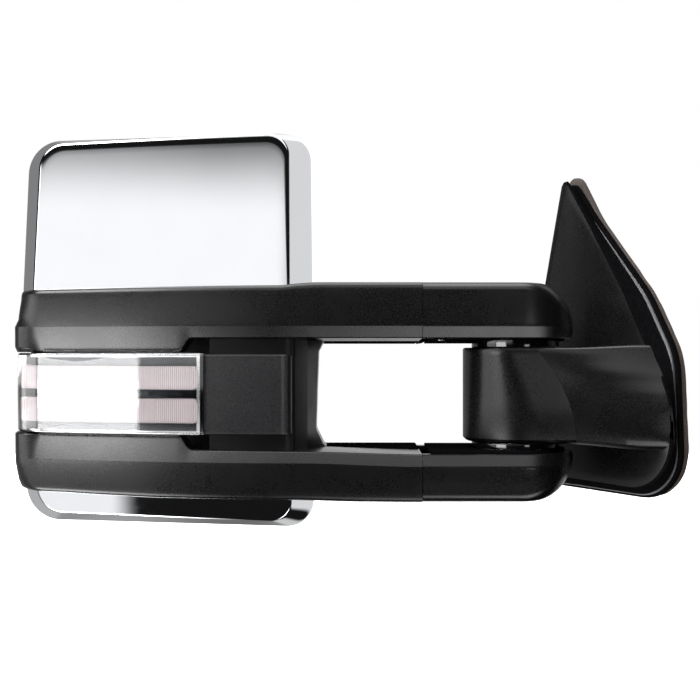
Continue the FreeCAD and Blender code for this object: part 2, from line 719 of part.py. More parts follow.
# ---- fasteners ---------------------------------------------------------------------------
def screw(point, direction, length, shank_r=1.8, head_r=3.6, head=2.4):
    """Pan-head screw: the head stands behind point, the shank runs along direction."""
    shank = rod(point, point + direction * length, shank_r)
    cap = rod(point - direction * head, point, head_r)
    socket = rod(point - direction * (head + 1), point - direction * (head - 1.2), head_r * 0.42)
    return shank.fuse(cap).removeSplitter().cut(socket)


def housing_screws():
    """Screws from the rear housing's floor into the frame plate."""
    places = ((-332, 160), (-186, 160), (-332, 20), (-186, 20), (-332, -76), (-186, -76))
    return Part.makeCompound([screw(V(x, 27.5, z), V(0, -1, 0), 9) for x, z in places])


def actuator_screws():
    """Screws that hold the lid of the glass drive."""
    group = []
    for angle in (45, 135, 225, 315):
        a = math.radians(angle)
        place = V(CENTRE_X + 39 * math.cos(a), 43, MAIN_PIVOT_Z + 39 * math.sin(a))
        group.append(screw(place, V(0, -1, 0), 8, 1.3, 2.8, 1.8))
    return Part.makeCompound(group)


def end_plate_screws():
    """Screws through the closing plates into the knuckle sockets."""
    group = []
    for x, y in ((-56, -14), (-56, 14), (-42, 0)):
        group.append(screw(V(x, y, 38.2), V(0, 0, 1), 9, 1.5, 3.0, 1.4))
        group.append(screw(V(x, y, -43.0), V(0, 0, -1), 6.5, 1.5, 3.0, 1.2))
    return Part.makeCompound(group)


NODES = {}


def add(name, shape):
    NODES[name] = shape


def build_base():
    add("base_bracket", base_bracket())
    add("mounting_studs", mounting_studs())
    add("harness_grommet", grommet())
    add("door_gasket", door_gasket())
    add("sail_cover", sail_cover())
    add("barrel_cover", barrel_cover())
    add("upper_collar", collar(BARREL_TOP, 37.8))
    add("lower_collar", collar(-41.2, BARREL_LOW))
    add("upper_pivot_bush", pivot_bush(13, 29.7, 29.7, 32.2))
    add("lower_pivot_bush", pivot_bush(-34, -17, -41.8, -34))
    add("detent_seat", detent_seat())
    add("pivot_spring", pivot_spring())
    add("cover_screws", cover_screws())


def build_arm():
    add("pivot_tube", pivot_tube())
    add("pivot_nut", pivot_nut())
    add("detent_ring", detent_ring())
    add("thrust_washer", thrust_washer())
    add("tube_plugs", tube_plugs())
    add("end_plate_screws", end_plate_screws())
    for side in SIDES:
        add(side + "_knuckle", knuckle(side))
        add(side + "_arm_tube", arm_tube(side))
        add(side + "_end_cover", end_cover(side))
        add(side + "_end_plate", end_plate(side))


def build_head():
    add("head_frame", head_frame())
    add("upper_cap", chrome_cap(True))
    add("lower_cap", chrome_cap(False))
    add("guide_bushes", guide_bushes())
    add("housing_screws", housing_screws())
    for side in SIDES:
        add(side + "_band", band_shroud(side))
        add(side + "_arm_rear_shroud", arm_rear_shroud(side))
    add("centre_bezel", centre_bezel())
    add("side_panel", side_panel())
    add("lamp_lens", lamp_lens())
    add("lamp_housing", lamp_housing())
    add("lamp_reflector", lamp_reflector())
    add("upper_light_guide", light_guide(1.4, 18.6))
    add("lower_light_guide", light_guide(-22.4, -4.4))
    add("lamp_board", lamp_board())
    add("rear_housing", rear_housing())
    add("glass_bezel", glass_bezel())
    add("actuator_case", actuator_case())
    add("actuator_cover", actuator_cover())
    add("actuator_screws", actuator_screws())
    add("drive_motors", drive_motors())
    add("spotter_post", spotter_post())


def build_glass():
    add("tilt_plunger", plunger("tilt"))
    add("pan_plunger", plunger("pan"))
    add("main_gimbal", gimbal(MAIN_PIVOT_Z))
    add("main_glass_tray", glass_tray(MAIN_Z[0], MAIN_Z[1], MAIN_PIVOT_Z))
    add("heater_pad", heater_pad())
    add("main_glass", main_glass())
    add("spotter_gimbal", gimbal(SPOT_PIVOT_Z))
    add("spotter_tray", glass_tray(SPOT_Z[0], SPOT_Z[1], SPOT_PIVOT_Z))
    add("spotter_glass", spotter_glass())


def export_all():
    os.makedirs("parts", exist_ok=True)
    origin = door_point(STUD_CENTRE_U, DOOR_FACE, 0)
    for name, shape in NODES.items():
        placed = shape.copy()
        placed.translate(origin * -1)
        placed.exportStep("parts/" + name + ".step")
        box_now = placed.BoundBox
        print("%-22s solids %d valid %s vol %9.1f  x %7.1f %7.1f y %7.1f %7.1f z %7.1f %7.1f" % (
            name, len(placed.Solids), placed.isValid(), placed.Volume, box_now.XMin, box_now.XMax,
            box_now.YMin, box_now.YMax, box_now.ZMin, box_now.ZMax))
    print("origin", origin)


build_base()
build_arm()
build_head()
build_glass()
export_all()
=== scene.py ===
import json
import math

import bmesh
import bpy
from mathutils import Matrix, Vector, noise


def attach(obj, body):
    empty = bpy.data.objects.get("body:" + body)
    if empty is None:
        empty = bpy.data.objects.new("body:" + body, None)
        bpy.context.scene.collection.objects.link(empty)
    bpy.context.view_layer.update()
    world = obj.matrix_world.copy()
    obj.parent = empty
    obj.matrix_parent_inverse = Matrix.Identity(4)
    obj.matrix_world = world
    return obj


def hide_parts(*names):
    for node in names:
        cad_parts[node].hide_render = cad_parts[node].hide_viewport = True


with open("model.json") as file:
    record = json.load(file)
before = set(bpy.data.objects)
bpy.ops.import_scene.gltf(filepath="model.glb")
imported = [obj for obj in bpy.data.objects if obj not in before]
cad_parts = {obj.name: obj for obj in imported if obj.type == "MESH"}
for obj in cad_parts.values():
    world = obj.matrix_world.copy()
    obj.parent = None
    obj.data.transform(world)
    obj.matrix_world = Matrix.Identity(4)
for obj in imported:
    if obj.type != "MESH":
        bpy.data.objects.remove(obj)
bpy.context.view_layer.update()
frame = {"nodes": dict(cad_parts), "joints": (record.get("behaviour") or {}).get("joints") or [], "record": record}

# A towing door mirror, seen from the front of the vehicle.  Lengths below are in
# millimetres about the folding pivot: +X inboard, +Y rearward, +Z up.
MM = 0.001
WALL, BAND_WALL = 2.2, 2.6              # wall of the caps and base covers, and of the bands
JOINTS = {joint["name"]: joint for joint in frame["joints"]}
PIVOT = Vector(JOINTS["arm_fold"]["pos_m"])
TURN = math.radians(32)                 # the door face is turned this much about Z

HEAD_IN, HEAD_OUT = -149.0, -371.8
CAP_UPPER_END, CAP_LOWER_END = 68.0, -68.0      # the caps run on inside the band
CAP_REAR = 58.0
BAND_FRONT, BAND_END = -42.0, -372.5
SEAM_X = -71.0
SEAM_HALF = 0.2
CREASE_UP, CREASE_LOW = 47.0, -49.6
LAMP_IN = -225.5
LAMP_TOP, LAMP_LOW = 26.8, -29.8
PANEL_IN = -163.4
BARREL_R, BORE_R = 38.5, 28.4
ARM_R = 42.0


def at(x, y, z):
    """A point in the frame, from millimetres about the pivot."""
    return Vector((x, y, z)) * MM + PIVOT


def lerp(a, b, t):
    """Straight from a to b."""
    return a + (b - a) * t


def smooth(t):
    """Eased step from 0 to 1."""
    t = min(1.0, max(0.0, t))
    return t * t * (3 - 2 * t)


def curve(x, points):
    """Value at x on a smooth line through (x, value) points in rising order of x."""
    if x <= points[0][0]:
        return points[0][1]
    for (xa, va), (xb, vb) in zip(points, points[1:]):
        if x <= xb:
            return lerp(va, vb, smooth((x - xa) / (xb - xa)) * 0.4 + (x - xa) / (xb - xa) * 0.6)
    return points[-1][1]


# ---- mesh helpers ----------------------------------------------------------------------
def new_object(name, verts, faces, slot_name, body, flat_angle=35.0, material=None):
    """A piece whose edges sharper than flat_angle, and whose open ends, stay crisp."""
    mesh = bpy.data.meshes.new(name)
    mesh.from_pydata([tuple(v) for v in verts], [], faces)
    mesh.validate()
    obj = bpy.data.objects.new(name, mesh)
    bpy.context.scene.collection.objects.link(obj)
    bm = bmesh.new()
    bm.from_mesh(mesh)
    bmesh.ops.remove_doubles(bm, verts=bm.verts, dist=1e-6)
    bmesh.ops.recalc_face_normals(bm, faces=bm.faces)
    limit = math.radians(flat_angle)
    for edge in bm.edges:
        edge.smooth = len(edge.link_faces) == 2 and edge.calc_face_angle() < limit
    bm.to_mesh(mesh)
    bm.free()
    for polygon in mesh.polygons:
        polygon.use_smooth = True
    mesh.materials.append(material or MATERIALS[slot_name])
    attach(obj, body)
    return obj


def grid_faces(rows, cols, wrap_rows=False, wrap_cols=False):
    faces = []
    for i in range(rows if wrap_rows else rows - 1):
        for j in range(cols if wrap_cols else cols - 1):
            a = i * cols + j
            b = i * cols + (j + 1) % cols
            c = (i + 1) % rows * cols + (j + 1) % cols
            d = (i + 1) % rows * cols + j
            faces.append((a, b, c, d))
    return faces


def skin(name, rows, slot_name, body, thickness=0.0, wrap_rows=False, wrap_cols=False,
         flat_angle=35.0, flip=False, material=None):
    """A surface through rows of points (mm), thickened inwards when thickness is given."""
    verts = [at(*point) for row in rows for point in row]
    faces = grid_faces(len(rows), len(rows[0]), wrap_rows, wrap_cols)
    if flip:
        faces = [tuple(reversed(face)) for face in faces]
    obj = new_object(name, verts, faces, slot_name, body, flat_angle, material)
    if thickness:
        thicken(obj, thickness)
    return obj


def thicken(obj, thickness):
    """Solid wall behind the visible side, which is the side the normals face."""
    solid = obj.modifiers.new("wall", "SOLIDIFY")
    solid.thickness = thickness * MM
    solid.offset = -1
    solid.use_even_offset = False


def bevel(obj, width, segments=2, angle=40):
    edge = obj.modifiers.new("edge", "BEVEL")
    edge.width = width * MM
    edge.segments = segments
    edge.limit_method = "ANGLE"
    edge.angle_limit = math.radians(angle)
    edge.harden_normals = False


def corner_path(corners, steps=8):
    """Closed outline through (x, y, radius) corners, with an arc of steps at each corner."""
    points = []
    count = len(corners)
    for i in range(count):
        x, y, r = corners[i]
        p = Vector((x, y))
        before = Vector(corners[i - 1][:2]) - p
        after = Vector(corners[(i + 1) % count][:2]) - p
        before.normalize()
        after.normalize()
        half = before.angle(after) / 2
        if r <= 0 or half > math.pi / 2 - 1e-3:
            points.append((x, y))
            continue
        reach = r / math.tan(half)
        centre = p + (before + after).normalized() * (r / math.sin(half))
        start = p + before * reach - centre
        sweep = math.pi - 2 * half
        end = p + after * reach - centre
        sign = 1 if start.x * end.y - start.y * end.x > 0 else -1
        for k in range(steps + 1):
            a = sign * sweep * k / steps
            points.append((centre.x + start.x * math.cos(a) - start.y * math.sin(a),
                           centre.y + start.x * math.sin(a) + start.y * math.cos(a)))
    return points


def resample(points, count, closed=False):
    """The same polyline with evenly spaced points."""
    pts = [Vector(p) for p in points]
    if closed:
        pts.append(pts[0])
    lengths = [0.0]
    for a, b in zip(pts, pts[1:]):
        lengths.append(lengths[-1] + (b - a).length)
    total = lengths[-1]
    out = []
    k = 0
    spans = count if closed else count - 1
    for i in range(count):
        s = total * i / spans
        while k < len(pts) - 2 and lengths[k + 1] < s:
            k += 1
        span = lengths[k + 1] - lengths[k]
        t = 0 if span < 1e-9 else (s - lengths[k]) / span
        out.append(tuple(pts[k].lerp(pts[k + 1], min(1, t))))
    return out


def arc_through(a, b, c, steps):
    """Points on the circle through three plan points, from a to c."""
    ax, ay = a
    bx, by = b
    cx, cy = c
    a2, b2, c2 = ax * ax + ay * ay, bx * bx + by * by, cx * cx + cy * cy
    d = 2 * (ax * (by - cy) + bx * (cy - ay) + cx * (ay - by))
    ux = (a2 * (by - cy) + b2 * (cy - ay) + c2 * (ay - by)) / d
    uy = (a2 * (cx - bx) + b2 * (ax - cx) + c2 * (bx - ax)) / d
    start = math.atan2(ay - uy, ax - ux)
    end = math.atan2(cy - uy, cx - ux)
    turn = (end - start + math.pi) % (2 * math.pi) - math.pi
    r = math.hypot(ax - ux, ay - uy)
    return [(ux + r * math.cos(start + turn * k / steps), uy + r * math.sin(start + turn * k / steps))
            for k in range(steps + 1)]


# ---- materials ---------------------------------------------------------------------------
class Nodes:
    """Short way to write a node material."""

    def __init__(self, name):
        self.material = bpy.data.materials.new(name)
        self.material.use_nodes = True
        self.tree = self.material.node_tree
        self.shader = self.tree.nodes["Principled BSDF"]
        self.place = self.add("ShaderNodeTexCoord").outputs["Object"]

    def add(self, kind, **settings):
        node = self.tree.nodes.new(kind)
        for key, value in settings.items():
            setattr(node, key, value)
        return node

    def link(self, a, b):
        self.tree.links.new(a, b)

    def set(self, **values):
        for key, value in values.items():
            self.shader.inputs[key.replace("_", " ")].default_value = value

    def noise(self, scale, detail=2.0, rough=0.5):
        node = self.add("ShaderNodeTexNoise")
        node.inputs["Scale"].default_value = scale
        node.inputs["Detail"].default_value = detail
        node.inputs["Roughness"].default_value = rough
        self.link(self.place, node.inputs["Vector"])
        return node.outputs["Fac"]

    def cells(self, scale):
        node = self.add("ShaderNodeTexVoronoi")
        node.inputs["Scale"].default_value = scale
        self.link(self.place, node.inputs["Vector"])
        return node.outputs["Distance"]

    def span(self, value, low, high, from_low=0.0, from_high=1.0):
        node = self.add("ShaderNodeMapRange")
        node.inputs["From Min"].default_value = from_low
        node.inputs["From Max"].default_value = from_high
        node.inputs["To Min"].default_value = low
        node.inputs["To Max"].default_value = high
        self.link(value, node.inputs["Value"])
        return node.outputs["Result"]

    def mix(self, value, dark, light):
        node = self.add("ShaderNodeMix", data_type="RGBA")
        node.inputs["A"].default_value = (*dark, 1)
        node.inputs["B"].default_value = (*light, 1)
        self.link(value, node.inputs["Factor"])
        return node.outputs["Result"]

    def bump(self, height, distance, strength=1.0):
        node = self.add("ShaderNodeBump")
        node.inputs["Distance"].default_value = distance
        node.inputs["Strength"].default_value = strength
        self.link(height, node.inputs["Height"])
        return node.outputs["Normal"]


def moulded_black(name, tone=0.004, rough=(0.24, 0.31), grain=1150, depth=0.00003):
    """Moulded plastic with a fine pebble grain and slightly uneven gloss."""
    n = Nodes(name)
    speckle = n.noise(grain, 2, 0.6)
    cloud = n.noise(22, 4, 0.6)
    base = n.mix(n.span(speckle, 0, 1, 0.35, 0.65), (tone * 0.5, tone * 0.5, tone * 0.56),
                 (tone * 2.2, tone * 2.15, tone * 2.4))
    n.link(base, n.shader.inputs["Base Color"])
    gloss = n.add("ShaderNodeMath", operation="ADD")
    n.link(n.span(cloud, rough[0], rough[1], 0.3, 0.7), gloss.inputs[0])
    n.link(n.span(speckle, -0.025, 0.035, 0.25, 0.75), gloss.inputs[1])
    n.link(gloss.outputs["Value"], n.shader.inputs["Roughness"])
    n.link(n.bump(n.noise(grain * 0.8, 1, 0.4), depth, 0.8), n.shader.inputs["Normal"])
    n.set(IOR=1.5)
    return n.material


def smooth_black(name, tone=0.005, rough=(0.28, 0.4)):
    n = Nodes(name)
    cloud = n.noise(60, 3)
    n.link(n.mix(cloud, (tone * 0.85,) * 3, (tone * 1.15,) * 3), n.shader.inputs["Base Color"])
    n.link(n.span(cloud, rough[0], rough[1], 0.3, 0.7), n.shader.inputs["Roughness"])
    n.link(n.bump(n.noise(900, 2), 0.00002, 0.5), n.shader.inputs["Normal"])
    n.set(IOR=1.38)
    return n.material


def gloss_black(name):
    n = Nodes(name)
    n.link(n.mix(n.noise(300, 2), (0.002,) * 3, (0.004,) * 3), n.shader.inputs["Base Color"])
    n.link(n.span(n.noise(90, 3), 0.07, 0.14, 0.3, 0.7), n.shader.inputs["Roughness"])
    n.set(Coat_Weight=0.6, Coat_Roughness=0.05)
    return n.material


def chrome(name, tint=(0.90, 0.915, 0.94), rough=(0.025, 0.055), ripple=0.00022):
    """Plated plastic: bright, with the long soft ripples of a moulded part."""
    n = Nodes(name)
    n.link(n.mix(n.noise(35, 2), tuple(t * 0.96 for t in tint), tint), n.shader.inputs["Base Color"])
    n.link(n.span(n.noise(140, 3), rough[0], rough[1], 0.3, 0.7), n.shader.inputs["Roughness"])
    n.link(n.bump(n.noise(11, 1, 0.4), ripple, 0.5), n.shader.inputs["Normal"])
    n.set(Metallic=1.0)
    return n.material


def metal(name, tint, rough, grain=900, depth=0.00003):
    n = Nodes(name)
    texture = n.noise(grain, 3, 0.6)
    n.link(n.mix(texture, tuple(t * 0.8 for t in tint), tint), n.shader.inputs["Base Color"])
    n.link(n.span(texture, rough[0], rough[1], 0.3, 0.7), n.shader.inputs["Roughness"])
    n.link(n.bump(texture, depth, 0.5), n.shader.inputs["Normal"])
    n.set(Metallic=1.0)
    return n.material


def foam(name):
    """Closed-cell foam with an open cut edge."""
    n = Nodes(name)
    cells = n.cells(700)
    tint = n.mix(n.noise(160, 4), (0.040, 0.031, 0.027), (0.095, 0.075, 0.066))
    n.link(tint, n.shader.inputs["Base Color"])
    n.link(n.span(cells, 0.8, 0.95), n.shader.inputs["Roughness"])
    n.link(n.bump(cells, 0.0004, 0.9), n.shader.inputs["Normal"])
    return n.material


def rubber(name):
    n = Nodes(name)
    n.link(n.mix(n.noise(200, 3), (0.012,) * 3, (0.022,) * 3), n.shader.inputs["Base Color"])
    n.link(n.span(n.noise(500, 2), 0.6, 0.75), n.shader.inputs["Roughness"])
    n.link(n.bump(n.noise(1200, 2), 0.00004, 0.6), n.shader.inputs["Normal"])
    return n.material


def nylon(name):
    n = Nodes(name)
    n.link(n.mix(n.noise(120, 3), (0.62, 0.60, 0.53), (0.72, 0.70, 0.64)), n.shader.inputs["Base Color"])
    n.link(n.span(n.noise(300, 2), 0.38, 0.5), n.shader.inputs["Roughness"])
    n.set(Subsurface_Weight=0.15, Subsurface_Scale=0.004)
    return n.material


def clear_lens(name):
    """Clear moulded plastic with the faint haze of its inside face."""
    n = Nodes(name)
    n.link(n.mix(n.noise(60, 2), (0.97, 0.965, 0.96), (1.0, 1.0, 1.0)), n.shader.inputs["Base Color"])
    n.link(n.span(n.noise(200, 2), 0.0, 0.02), n.shader.inputs["Roughness"])
    n.set(Transmission_Weight=1.0, IOR=1.8)
    return n.material


RIB_PITCH = 1.5                         # mm from rib to rib
RIB_WAVE = 209.4                        # wave texture scale with that same pitch


def pink_guide(name):
    """Pale pink light guide, with painted shade: a fine dark line in the bottom of each rib."""
    n = Nodes(name)
    wave = n.add("ShaderNodeTexWave", wave_type="BANDS", bands_direction="X")
    wave.inputs["Scale"].default_value = RIB_WAVE
    n.link(n.place, wave.inputs["Vector"])
    # the dark end of this mix is painted shade in the rib bottoms; the light end is the guide's own pink
    tint = n.mix(n.span(wave.outputs["Fac"], 0, 1, 0.02, 0.3), (0.56, 0.44, 0.47), (1.0, 0.92, 0.94))
    n.link(tint, n.shader.inputs["Base Color"])
    n.link(n.span(n.noise(400, 2), 0.16, 0.3), n.shader.inputs["Roughness"])
    return n.material


def silvered(name, tint=(0.86, 0.87, 0.88), rough=(0.1, 0.2)):
    n = Nodes(name)
    n.link(n.mix(n.noise(80, 2), tuple(t * 0.93 for t in tint), tint), n.shader.inputs["Base Color"])
    n.link(n.span(n.noise(260, 3), rough[0], rough[1]), n.shader.inputs["Roughness"])
    n.set(Metallic=1.0)
    return n.material


def mirror_glass(name):
    n = Nodes(name)
    n.link(n.mix(n.noise(8, 1), (0.80, 0.83, 0.86), (0.83, 0.86, 0.885)), n.shader.inputs["Base Color"])
    n.link(n.span(n.noise(60, 2), 0.005, 0.018), n.shader.inputs["Roughness"])
    n.set(Metallic=1.0, Coat_Weight=0.5, Coat_Roughness=0.01)
    return n.material


def circuit(name):
    n = Nodes(name)
    n.link(n.mix(n.cells(260), (0.012, 0.07, 0.03), (0.03, 0.16, 0.06)), n.shader.inputs["Base Color"])
    n.link(n.span(n.noise(300, 2), 0.3, 0.45), n.shader.inputs["Roughness"])
    return n.material


def heater(name):
    n = Nodes(name)
    wave = n.add("ShaderNodeTexWave")
    wave.inputs["Scale"].default_value = 60
    n.link(n.place, wave.inputs["Vector"])
    n.link(n.mix(wave.outputs["Fac"], (0.55, 0.33, 0.06), (0.35, 0.2, 0.04)), n.shader.inputs["Base Color"])
    n.link(n.span(n.noise(200, 2), 0.3, 0.4), n.shader.inputs["Roughness"])
    return n.material


MATERIALS = {
    "textured_black": moulded_black("textured_black"),
    "plain_black": smooth_black("plain_black"),
    "satin_black": moulded_black("satin_black", 0.004, (0.22, 0.29), 1700, 0.00001),
    "gloss_black": gloss_black("gloss_black"),
    "bright_chrome": chrome("bright_chrome"),
    "dark_chrome": chrome("dark_chrome", (0.055, 0.058, 0.065), (0.1, 0.2), 0.0002),
    "cast_alloy": metal("cast_alloy", (0.40, 0.41, 0.42), (0.5, 0.65), 1200, 0.0001),
    "zinc_steel": metal("zinc_steel", (0.62, 0.61, 0.57), (0.28, 0.4)),
    "dark_steel": metal("dark_steel", (0.12, 0.12, 0.13), (0.35, 0.5)),
    "black_coated_steel": smooth_black("black_coated_steel", 0.008, (0.22, 0.34)),
    "gasket_foam": foam("gasket_foam"),
    "black_rubber": rubber("black_rubber"),
    "bearing_nylon": nylon("bearing_nylon"),
    "clear_lens": clear_lens("clear_lens"),
    "pink_guide": pink_guide("pink_guide"),
    "lamp_silver": silvered("lamp_silver"),
    "mirror_silver": mirror_glass("mirror_silver"),
    "circuit_board": circuit("circuit_board"),
    "heater_film": heater("heater_film"),
}


# ---- camera, light and stage -----------------------------------------------------------
VIEW_DISTANCE = 802.0
VIEW_X, VIEW_Z = -122.1, 30.0
VIEW_WIDTH = 518.0                      # width of the view at the pivot's depth

FLOOR_Z, FLOOR_REACH = -430.0, 4000
ROOM_FRONT = 0.008                      # the dark end of the studio
ROOM_OVERHEAD = 4.5
BACK_WALL = 1.0                         # white wall straight behind the mirror
# cards: bearing from, to, softness left, right; height from, to, softness below, above; brightness
DEGREES = 57.29578
CARDS = (
    (-100, -17, 10, 3, 1, 9, 1.5, 7.5, 1.05),       # white wall beside the strip light
    (-58, -32.8, 1, 1, -5.8, 1.2, 1.2, 1.2, 7.6),   # strip light
    (-90, -34, 8, 3, -30, -7, 4, 2, 0.95),          # white wall under it
    (-74, -44, 14, 16, 32, 48, 6, 10, 12.0),        # left soft box, high
    (-74, -44, 14, 16, -50, -34, 10, 6, 12.0),      # left soft box, low
    (18, 27, 2, 3, -3, 3, 2, 2, 4.0),               # small right strip
    (4, 26, 10, 10, 32, 48, 6, 8, 0.6),             # right soft box, high
    (14, 55, 24, 14, -56, -36, 10, 8, 4.0),         # right soft box, low
    (-60, 30, 20, 20, 30, 62, 6, 8, 0.9),           # pale ceiling edge
    (-95, -63, 8, 4, -9, 12, 4, 6, 1.6),            # side wall beyond the strip light
    (-165, -126, 8, 8, -60, 60, 12, 12, 0.22),      # grey wall behind on the left
    (122, 166, 12, 8, -20, 40, 8, 20, 0.72),        # grey wall behind on the right
    (-155, -100, 8, 20, -45, -8, 8, 6, 0.22),       # faint card low on the left
)


def add_camera():
    data = bpy.data.cameras.new("camera")
    data.sensor_width = 36
    data.lens = 36 * VIEW_DISTANCE / VIEW_WIDTH
    data.clip_start = 0.01
    camera = bpy.data.objects.new("camera", data)
    camera.location = at(VIEW_X, -VIEW_DISTANCE, VIEW_Z)
    camera.rotation_euler = (math.radians(90), 0, 0)
    bpy.context.scene.collection.objects.link(camera)
    bpy.context.scene.camera = camera


def add_softbox(name, centre, target, width, height, power):
    """Rectangular light at centre, aimed at target; sizes in mm, power in watts."""
    data = bpy.data.lights.new(name, "AREA")
    data.shape = "RECTANGLE"
    data.size = width * MM
    data.size_y = height * MM
    data.energy = power
    light = bpy.data.objects.new(name, data)
    light.location = at(*centre)
    light.rotation_euler = (at(*target) - at(*centre)).to_track_quat("-Z", "Y").to_euler()
    bpy.context.scene.collection.objects.link(light)


def add_world():
    """Studio surroundings: a white room behind, a dark one in front, and soft cards round it."""
    world = bpy.data.worlds.new("studio")
    bpy.context.scene.world = world
    world.use_nodes = True
    tree = world.node_tree
    link = tree.links.new
    background = tree.nodes["Background"]

    def math_node(operation, a, b=None):
        node = tree.nodes.new("ShaderNodeMath")
        node.operation = operation
        for socket, value in zip(node.inputs, (a, b)):
            if value is None:
                continue
            if isinstance(value, (int, float)):
                socket.default_value = value
            else:
                link(value, socket)
        return node.outputs[0]

    def times(a, b):
        return math_node("MULTIPLY", a, b)

    def plus(a, b):
        return math_node("ADD", a, b)

    def step(value, start, end):
        """Smoothly 0 at start to 1 at end."""
        node = tree.nodes.new("ShaderNodeMapRange")
        node.interpolation_type = "SMOOTHSTEP"
        node.inputs["From Min"].default_value = min(start, end)
        node.inputs["From Max"].default_value = max(start, end)
        node.inputs["To Min"].default_value = 0.0 if start < end else 1.0
        node.inputs["To Max"].default_value = 1.0 if start < end else 0.0
        link(value, node.inputs["Value"])
        return node.outputs["Result"]

    place = tree.nodes.new("ShaderNodeTexCoord")
    split = tree.nodes.new("ShaderNodeSeparateXYZ")
    link(place.outputs["Generated"], split.inputs["Vector"])
    x, y, z = (split.outputs[axis] for axis in "XYZ")
    # bearing: 0 straight in front of the object, negative outboard; height: degrees above level
    bearing = times(math_node("ARCTAN2", x, times(y, -1)), DEGREES)
    height = times(math_node("ARCSINE", z), DEGREES)

    # the cards' edges wander a little, as large paper and cloth edges do
    wander = tree.nodes.new("ShaderNodeTexNoise")
    wander.inputs["Scale"].default_value = 5.0
    wander.inputs["Detail"].default_value = 3.0
    link(place.outputs["Generated"], wander.inputs["Vector"])
    shift = times(math_node("SUBTRACT", wander.outputs["Fac"], 0.5), 0.5)
    ragged = plus(height, shift)

    level = math_node("SQRT", math_node("SUBTRACT", 1.0, times(z, z)))
    behind = math_node("DIVIDE", y, math_node("MAXIMUM", level, 0.01))
    total = times(step(behind, 0.93, 0.985), BACK_WALL)
    total = times(total, step(height, 62, 40))
    # the wall falls off toward the outboard side, and a little toward the floor
    total = times(total, plus(times(step(x, -0.10, 0.0), 0.75), 0.25))
    total = times(total, plus(times(step(height, -14, -3), 0.4), 0.6))
    total = plus(total, ROOM_FRONT)
    total = plus(total, times(step(height, 58, 70), ROOM_OVERHEAD))
    for b0, b1, b_soft0, b_soft1, h0, h1, h_soft0, h_soft1, power in CARDS:
        mask = times(step(bearing, b0 - b_soft0, b0), step(bearing, b1 + b_soft1, b1))
        mask = times(mask, step(ragged, h0 - h_soft0, h0))
        mask = times(mask, step(ragged, h1 + h_soft1, h1))
        total = plus(total, times(mask, power))
    seen = tree.nodes.new("ShaderNodeLightPath").outputs["Is Camera Ray"]
    blend = tree.nodes.new("ShaderNodeMix")
    blend.inputs["B"].default_value = 1.0
    link(seen, blend.inputs["Factor"])
    link(total, blend.inputs["A"])
    link(blend.outputs["Result"], background.inputs["Color"])
    background.inputs["Strength"].default_value = 1.0


def stage_material(name, tone, glow):
    n = Nodes(name)
    n.link(n.mix(n.noise(3, 2), (tone * 0.985,) * 3, (tone,) * 3), n.shader.inputs["Base Color"])
    n.set(Roughness=0.8, Emission_Color=(1, 1, 1, 1), Emission_Strength=glow)
    return n.material


def add_stage():
    """Pale floor well below the mirror, which hangs in the middle of the studio."""
    verts = [at(x, y, FLOOR_Z) for y in (-FLOOR_REACH, FLOOR_REACH) for x in (-FLOOR_REACH, FLOOR_REACH)]
    mesh = bpy.data.meshes.new("floor")
    mesh.from_pydata([tuple(v) for v in verts], [], [(0, 1, 3, 2)])
    floor = bpy.data.objects.new("floor", mesh)
    bpy.context.scene.collection.objects.link(floor)
    mesh.materials.append(stage_material("floor_paint", 0.8, 0.9))
    floor.visible_glossy = False
    floor.visible_diffuse = False


def add_lights():
    add_softbox("top_softbox", (-150, -100, 1250), (-150, 0, 0), 1400, 900, 1.5)


# ---- head: chrome caps ------------------------------------------------------------------
def head_outline(face):
    """Corners (x, z, radius) of the head: 0 the full outline, 1 the front face."""
    left = HEAD_OUT + 16 * face
    right = HEAD_IN - 15 * face
    top = 191.0 - 7 * face
    low = -101.5 + 9.5 * face
    return left, right, top, low


def cap_edge(face, upper, steps=14, straight=14):
    """Open outline of a cap, from its inboard end round to its outboard end."""
    left, right, top, low = head_outline(face)
    if upper:
        z_end = CAP_UPPER_END
        corner_in = (right - 2, top, 20 - 5 * face)
        corner_out = (left + 6, top - 2.5, 26 - 8 * face)
        side_in, side_out = right - 0.6, left + 0.4
    else:
        z_end = CAP_LOWER_END
        corner_in = (right, low, min(19 - 5 * face, abs(low - z_end) * 0.98))
        corner_out = (left + 4, low + 3, min(27 - 8 * face, abs(low + 3 - z_end) * 0.98))
        side_in, side_out = right, left + 3.2
    loop = [(side_in, z_end, 0), corner_in, corner_out, (side_out, z_end, 0)]
    path = corner_path(loop, steps)
    arcs_in = path[1:2 + steps]
    arcs_out = path[2 + steps:3 + 2 * steps]
    points = []
    for k in range(straight):
        points.append(tuple(lerp(Vector(path[0]), Vector(arcs_in[0]), k / straight)))
    points += arcs_in
    for k in range(1, 3 * straight):
        points.append(tuple(lerp(Vector(arcs_in[-1]), Vector(arcs_out[0]), k / (3 * straight))))
    points += arcs_out
    for k in range(1, straight + 1):
        points.append(tuple(lerp(Vector(arcs_out[-1]), Vector(path[-1]), k / straight)))
    return points


def face_y(x, z):
    """Front face of the caps: swept back outboard, with a slight crown both ways."""
    across = (x + 258.0) / 94.0
    along = (z - 45.0) / 140.0
    return -34.0 + 31.0 * (-164.0 - x) / 189.0 - 2.6 * (1 - across * across) - 2.4 * (1 - along * along) + 1.2


